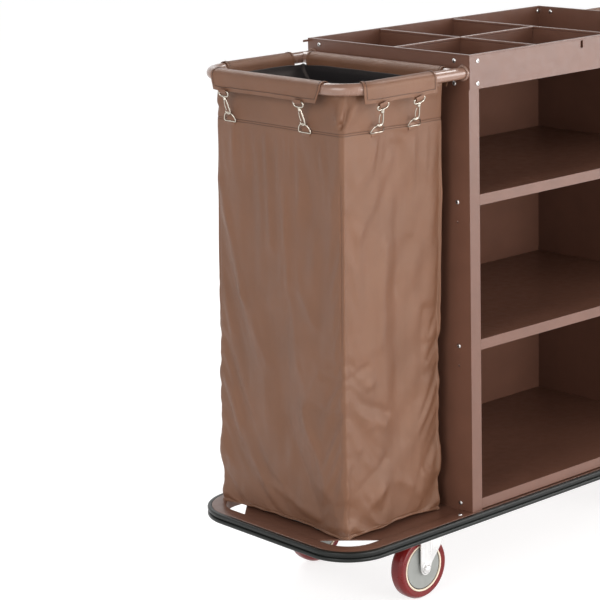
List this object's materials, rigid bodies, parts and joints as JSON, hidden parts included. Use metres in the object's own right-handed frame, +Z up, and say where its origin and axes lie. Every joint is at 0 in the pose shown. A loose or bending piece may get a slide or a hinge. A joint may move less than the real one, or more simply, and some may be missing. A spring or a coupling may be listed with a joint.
{
  "type": "housekeeping cart",
  "caption": "Steel housekeeping cart with an open divided tray, open-front shelves, a bumpered base on casters and a fabric bag hung from a tube hoop at each end.",
  "frame": {"origin": "on the floor, under the middle of the cart", "axes": "+X along the cart to its right end, -Y to the open side, +Z up"},
  "size_m": [1.338, 0.45, 1.03],
  "materials": {
    "brown_paint": "brown powder coat, satin",
    "bag_fabric": "brown coated oxford weave",
    "bumper_rubber": "dark grey, slightly glossy ribs",
    "zinc_steel": "bright zinc",
    "nickel": "nickel plate",
    "hub_plastic": "grey, satin",
    "tyre_rubber": "red polyurethane tread"
  },
  "bodies": {
    "cart": {"back_panel": "brown_paint", "bag_left": "bag_fabric", "bag_right": "bag_fabric", "base_frame": "brown_paint", "bumper_strip": "bumper_rubber", "caster_axle_right_front": "zinc_steel", "caster_axle_right_rear": "zinc_steel", "caster_bracket_right_front": "zinc_steel", "caster_bracket_right_rear": "zinc_steel", "caster_kingpin_left_front": "zinc_steel", "caster_kingpin_left_rear": "zinc_steel", "caster_plate_left_front": "zinc_steel", "caster_plate_left_rear": "zinc_steel", "deck_plate": "brown_paint", "end_panel_left": "brown_paint", "end_panel_right": "brown_paint", "fascia": "brown_paint", "hoop_bar_left": "brown_paint", "hoop_bar_right": "brown_paint", "hoop_collar_left_front": "brown_paint", "hoop_collar_left_rear": "brown_paint", "hoop_collar_right_front": "brown_paint", "hoop_collar_right_rear": "brown_paint", "hoop_left": "brown_paint", "hoop_right": "brown_paint", "shelf_lower": "brown_paint", "shelf_middle": "brown_paint", "shelf_upper": "brown_paint", "snap_hook_left_1": "nickel", "snap_hook_left_2": "nickel", "snap_hook_left_3": "nickel", "snap_hook_left_4": "nickel", "snap_hook_right_1": "nickel", "snap_hook_right_2": "nickel", "snap_hook_right_3": "nickel", "snap_hook_right_4": "nickel", "tray_divider_left": "brown_paint", "tray_divider_long": "brown_paint", "tray_divider_right": "brown_paint", "tray_pan": "brown_paint"},
    "swivel_left_front": {"caster_axle_left_front": "zinc_steel", "caster_fork_left_front": "zinc_steel"},
    "swivel_left_rear": {"caster_axle_left_rear": "zinc_steel", "caster_fork_left_rear": "zinc_steel"},
    "wheel_left_front": {"caster_tyre_left_front": "tyre_rubber", "caster_wheel_left_front": "hub_plastic"},
    "wheel_left_rear": {"caster_tyre_left_rear": "tyre_rubber", "caster_wheel_left_rear": "hub_plastic"},
    "wheel_right_front": {"caster_tyre_right_front": "tyre_rubber", "caster_wheel_right_front": "hub_plastic"},
    "wheel_right_rear": {"caster_tyre_right_rear": "tyre_rubber", "caster_wheel_right_rear": "hub_plastic"},
    "gate_left_1": {"hook_gate_left_1": "nickel"},
    "gate_left_2": {"hook_gate_left_2": "nickel"},
    "gate_left_3": {"hook_gate_left_3": "nickel"},
    "gate_left_4": {"hook_gate_left_4": "nickel"},
    "gate_right_1": {"hook_gate_right_1": "nickel"},
    "gate_right_2": {"hook_gate_right_2": "nickel"},
    "gate_right_3": {"hook_gate_right_3": "nickel"},
    "gate_right_4": {"hook_gate_right_4": "nickel"}
  },
  "joints": [
    {"name": "swivel_left_front", "type": "hinge", "parent": "cart", "child": "swivel_left_front", "pos_m": [-0.378, -0.1435, 0.14], "axis": [0, 0, 1], "continuous": true},
    {"name": "swivel_left_rear", "type": "hinge", "parent": "cart", "child": "swivel_left_rear", "pos_m": [-0.378, 0.1435, 0.14], "axis": [0, 0, 1], "continuous": true},
    {"name": "roll_left_front", "type": "hinge", "parent": "swivel_left_front", "child": "wheel_left_front", "pos_m": [-0.411, -0.1435, 0.0625], "axis": [0, 1, 0], "continuous": true},
    {"name": "roll_left_rear", "type": "hinge", "parent": "swivel_left_rear", "child": "wheel_left_rear", "pos_m": [-0.411, 0.1435, 0.0625], "axis": [0, 1, 0], "continuous": true},
    {"name": "roll_right_front", "type": "hinge", "parent": "cart", "child": "wheel_right_front", "pos_m": [0.378, -0.1435, 0.0625], "axis": [0, 1, 0], "continuous": true},
    {"name": "roll_right_rear", "type": "hinge", "parent": "cart", "child": "wheel_right_rear", "pos_m": [0.378, 0.1435, 0.0625], "axis": [0, 1, 0], "continuous": true},
    {"name": "gate_left_1", "type": "hinge", "parent": "cart", "child": "gate_left_1", "pos_m": [-0.62704, 0.1212, 0.95203], "axis": [-0.9563, 0, -0.2924], "range_deg": [0, 18], "stiffness_Nm_per_rad": 0.005, "springref_deg": -5.73},
    {"name": "gate_left_2", "type": "hinge", "parent": "cart", "child": "gate_left_2", "pos_m": [-0.62704, -0.0818, 0.95203], "axis": [-0.9563, 0, -0.2924], "range_deg": [0, 18], "stiffness_Nm_per_rad": 0.005, "springref_deg": -5.73},
    {"name": "gate_left_3", "type": "hinge", "parent": "cart", "child": "gate_left_3", "pos_m": [-0.54816, -0.20569, 0.94983], "axis": [0, -0.9135, -0.4067], "range_deg": [0, 18], "stiffness_Nm_per_rad": 0.005, "springref_deg": -5.73},
    {"name": "gate_left_4", "type": "hinge", "parent": "cart", "child": "gate_left_4", "pos_m": [-0.45916, -0.20569, 0.94983], "axis": [0, -0.9135, -0.4067], "range_deg": [0, 18], "stiffness_Nm_per_rad": 0.005, "springref_deg": -5.73},
    {"name": "gate_right_1", "type": "hinge", "parent": "cart", "child": "gate_right_1", "pos_m": [0.62704, 0.1128, 0.95203], "axis": [0.9563, 0, -0.2924], "range_deg": [0, 18], "stiffness_Nm_per_rad": 0.005, "springref_deg": -5.73},
    {"name": "gate_right_2", "type": "hinge", "parent": "cart", "child": "gate_right_2", "pos_m": [0.62704, -0.0902, 0.95203], "axis": [0.9563, 0, -0.2924], "range_deg": [0, 18], "stiffness_Nm_per_rad": 0.005, "springref_deg": -5.73},
    {"name": "gate_right_3", "type": "hinge", "parent": "cart", "child": "gate_right_3", "pos_m": [0.53994, -0.2064, 0.95142], "axis": [0, -0.9135, -0.4067], "range_deg": [0, 18], "stiffness_Nm_per_rad": 0.005, "springref_deg": -5.73},
    {"name": "gate_right_4", "type": "hinge", "parent": "cart", "child": "gate_right_4", "pos_m": [0.45094, -0.2064, 0.95142], "axis": [0, -0.9135, -0.4067], "range_deg": [0, 18], "stiffness_Nm_per_rad": 0.005, "springref_deg": -5.73}
  ]
}
